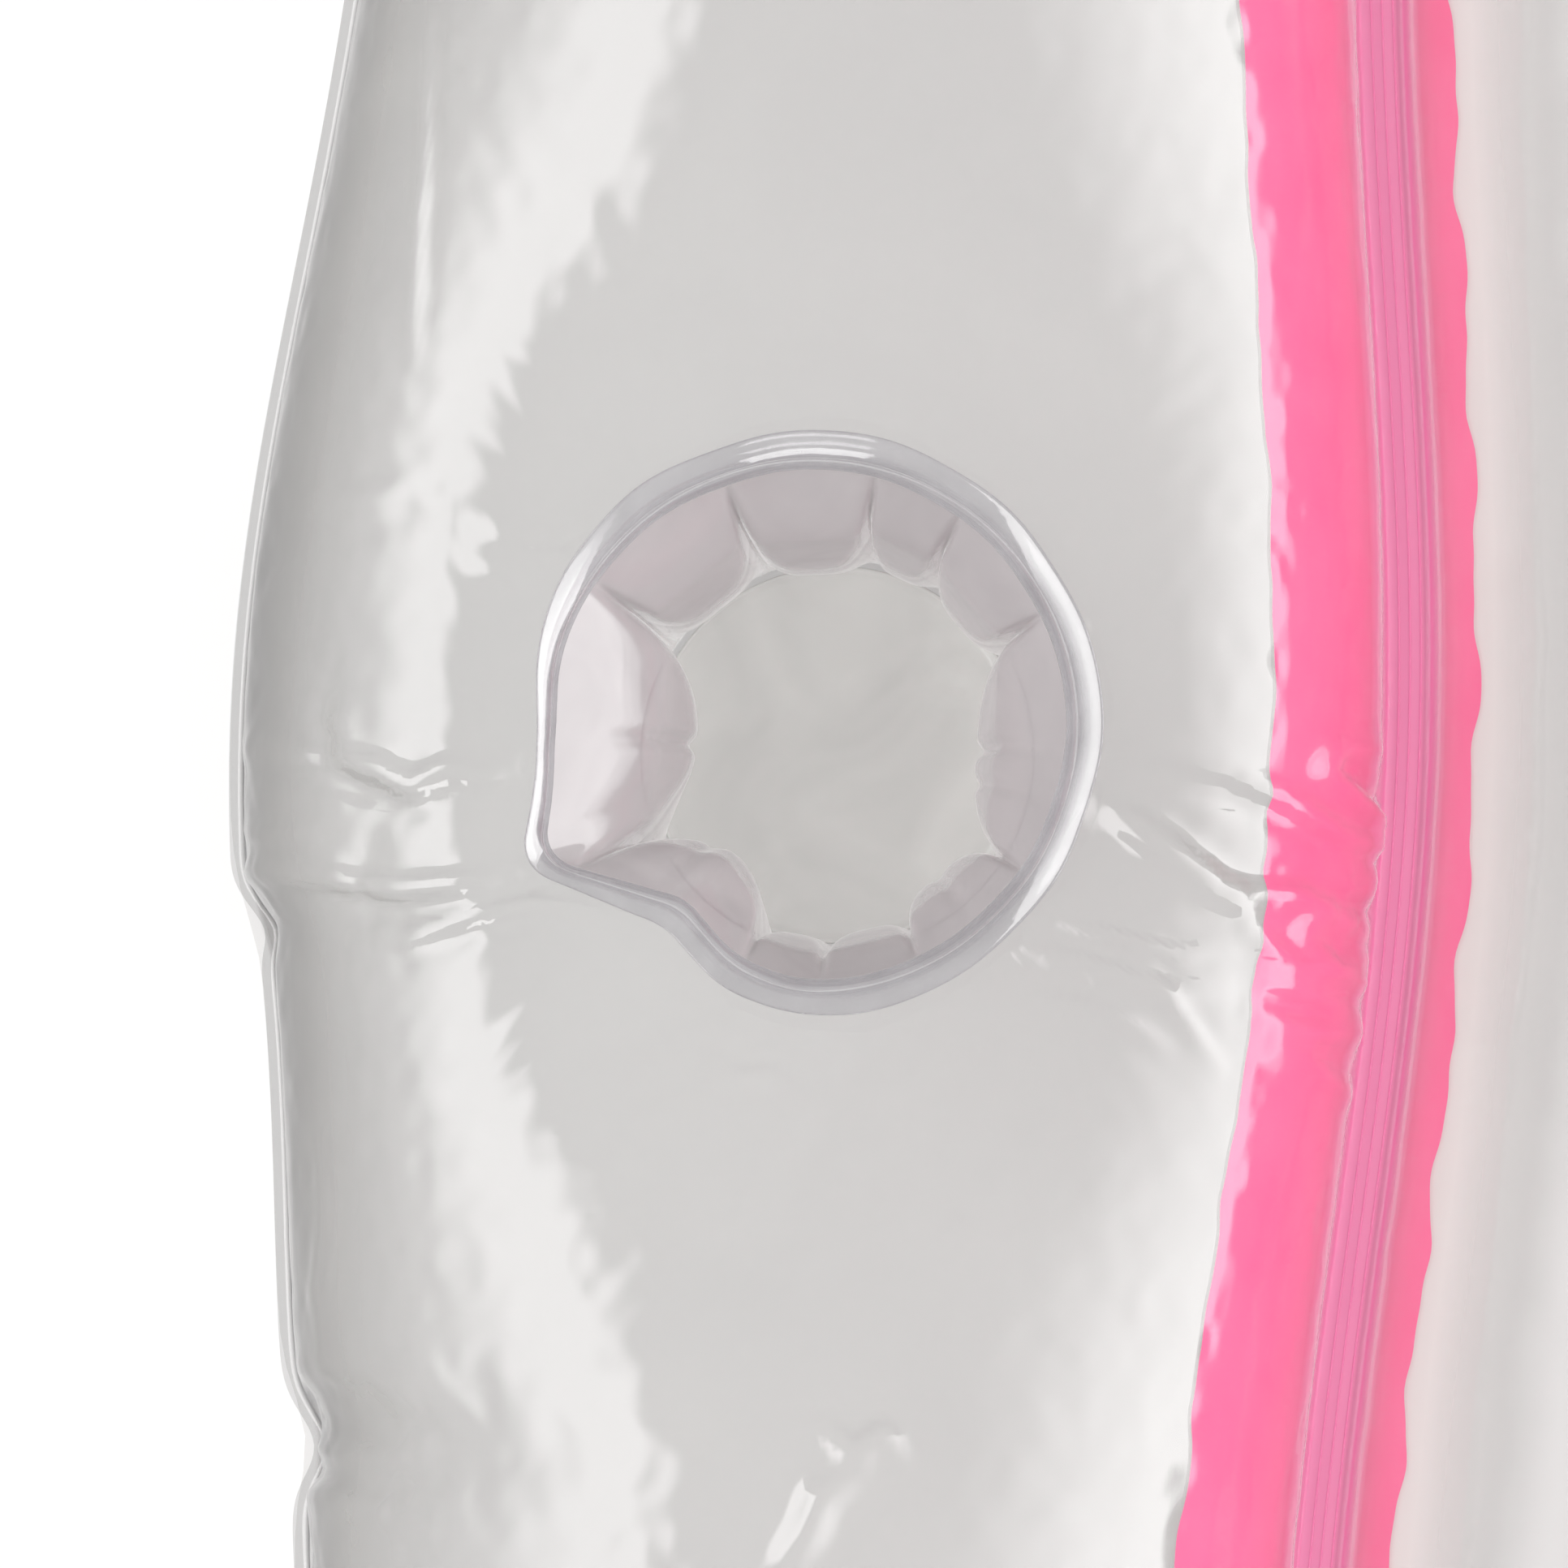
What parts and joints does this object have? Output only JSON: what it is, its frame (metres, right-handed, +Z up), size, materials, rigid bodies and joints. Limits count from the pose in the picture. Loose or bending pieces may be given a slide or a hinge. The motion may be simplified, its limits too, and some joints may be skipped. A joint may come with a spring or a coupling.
{
  "type": "inflatable lounging mat",
  "caption": "Clear inflatable pool mat of welded film tubes with pink strips along the welds, a cup holder let into one rail, plug valves and a pillow that folds up.",
  "frame": {"origin": "middle of the outline, on the floor", "axes": "+X across the mat, the cup holder on the -X side; +Y towards the pillow; +Z up"},
  "size_m": [0.849, 1.8198, 0.1592],
  "materials": {
    "clear_film": "glossy clear PVC film, thin and springy",
    "pink_film": "glossy translucent pink PVC film",
    "rim_film": "two clear films fused into one ring, faintly lilac",
    "valve_plastic": "soft clear moulded PVC"
  },
  "bodies": {
    "mat": {"left_rail_top_film": "clear_film", "left_rail_bottom_film": "clear_film", "left_rail_cup_bottom_film": "clear_film", "left_rail_head_bottom_film": "clear_film", "right_rail_top_film": "clear_film", "right_rail_bottom_film": "clear_film", "bed_top_film": "clear_film", "bed_bottom_film": "clear_film", "seam_strip_1": "pink_film", "seam_strip_2": "pink_film", "seam_strip_3": "pink_film", "seam_strip_4": "pink_film", "seam_strip_5": "pink_film", "cup_rim": "rim_film", "cup_sleeve": "clear_film", "cup_base": "clear_film", "left_rail_valve_flange": "valve_plastic", "right_rail_valve_flange": "valve_plastic", "bed_valve_flange": "valve_plastic"},
    "pillow": {"pillow_top_film": "clear_film", "pillow_bottom_film": "clear_film", "pillow_weld_bead": "clear_film", "pillow_valve_flange": "valve_plastic"},
    "left_rail_neck": {"left_rail_valve_neck": "valve_plastic"},
    "left_rail_stopper": {"left_rail_valve_stopper": "valve_plastic"},
    "left_rail_flap": {"left_rail_valve_flap": "valve_plastic"},
    "right_rail_neck": {"right_rail_valve_neck": "valve_plastic"},
    "right_rail_stopper": {"right_rail_valve_stopper": "valve_plastic"},
    "right_rail_flap": {"right_rail_valve_flap": "valve_plastic"},
    "bed_neck": {"bed_valve_neck": "valve_plastic"},
    "bed_stopper": {"bed_valve_stopper": "valve_plastic"},
    "bed_flap": {"bed_valve_flap": "valve_plastic"},
    "pillow_neck": {"pillow_valve_neck": "valve_plastic"},
    "pillow_stopper": {"pillow_valve_stopper": "valve_plastic"},
    "pillow_flap": {"pillow_valve_flap": "valve_plastic"}
  },
  "joints": [
    {"name": "pillow_fold", "type": "hinge", "parent": "mat", "child": "pillow", "pos_m": [0, 0.595, 0.061], "axis": [1, 0, 0], "range_deg": [0, 45]},
    {"name": "left_rail_valve_push", "type": "slide", "parent": "mat", "child": "left_rail_neck", "axis": [0, 0, -1], "range_m": [0, 0.0072]},
    {"name": "left_rail_stopper_open", "type": "hinge", "parent": "left_rail_neck", "child": "left_rail_stopper", "pos_m": [-0.333, -0.6996, 0.1504], "axis": [0, -1, 0], "range_deg": [0, 165]},
    {"name": "left_rail_flap_open", "type": "hinge", "parent": "left_rail_neck", "child": "left_rail_flap", "pos_m": [-0.3279, -0.6996, 0.1279], "axis": [0, 1, 0], "range_deg": [0, 40], "stiffness_Nm_per_rad": 0.00002, "springref_deg": -20.05},
    {"name": "right_rail_valve_push", "type": "slide", "parent": "mat", "child": "right_rail_neck", "axis": [0, 0, -1], "range_m": [0, 0.0072]},
    {"name": "right_rail_stopper_open", "type": "hinge", "parent": "right_rail_neck", "child": "right_rail_stopper", "pos_m": [0.329, -0.6996, 0.1504], "axis": [0, -1, 0], "range_deg": [0, 165]},
    {"name": "right_rail_flap_open", "type": "hinge", "parent": "right_rail_neck", "child": "right_rail_flap", "pos_m": [0.3341, -0.6996, 0.1279], "axis": [0, 1, 0], "range_deg": [0, 40], "stiffness_Nm_per_rad": 0.00002, "springref_deg": -20.05},
    {"name": "bed_valve_push", "type": "slide", "parent": "mat", "child": "bed_neck", "axis": [0, 0, -1], "range_m": [0, 0.0072]},
    {"name": "bed_stopper_open", "type": "hinge", "parent": "bed_neck", "child": "bed_stopper", "pos_m": [0.181, -0.6996, 0.1264], "axis": [0, -1, 0], "range_deg": [0, 165]},
    {"name": "bed_flap_open", "type": "hinge", "parent": "bed_neck", "child": "bed_flap", "pos_m": [0.1861, -0.6996, 0.1039], "axis": [0, 1, 0], "range_deg": [0, 40], "stiffness_Nm_per_rad": 0.00002, "springref_deg": -20.05},
    {"name": "pillow_valve_push", "type": "slide", "parent": "pillow", "child": "pillow_neck", "axis": [0, 0, -1], "range_m": [0, 0.0072]},
    {"name": "pillow_stopper_open", "type": "hinge", "parent": "pillow_neck", "child": "pillow_stopper", "pos_m": [0.198, 0.74882, 0.1584], "axis": [0, -1, 0], "range_deg": [0, 165]},
    {"name": "pillow_flap_open", "type": "hinge", "parent": "pillow_neck", "child": "pillow_flap", "pos_m": [0.2031, 0.74882, 0.1359], "axis": [0, 1, 0], "range_deg": [0, 40], "stiffness_Nm_per_rad": 0.00002, "springref_deg": -20.05}
  ]
}
